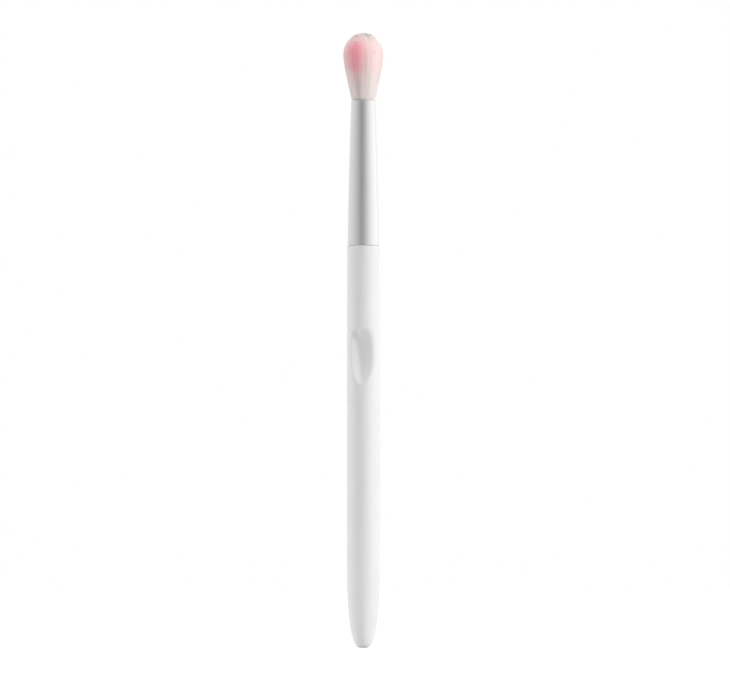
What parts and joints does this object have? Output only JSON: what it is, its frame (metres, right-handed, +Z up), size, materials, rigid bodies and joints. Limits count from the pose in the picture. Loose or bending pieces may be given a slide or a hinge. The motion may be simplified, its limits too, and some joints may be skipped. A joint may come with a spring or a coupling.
{
  "type": "eyeshadow brush",
  "caption": "Slim round eyeshadow brush: domed tuft of soft fibres in a tapered metal ferrule, on a smooth handle with a heart-shaped thumb recess.",
  "frame": {"origin": "middle of the handle's butt end, at the brush's lowest point", "axes": "+Z up the brush from the butt end to the tuft; -Y out of the thumb recess; +X to the right of the recess"},
  "size_m": [0.011, 0.011, 0.1685],
  "materials": {
    "handle": "satin white, moulded",
    "ferrule": "matt silver, drawn and anodised",
    "bristles": "soft synthetic fibre, white at the root, pink towards the tip",
    "resin": "cured clear resin",
    "adhesive": "cured adhesive"
  },
  "bodies": {
    "root": {"handle": "handle", "ferrule": "ferrule", "bristle_tuft": "bristles", "root_plug": "resin", "tenon_adhesive": "adhesive"}
  },
  "joints": []
}
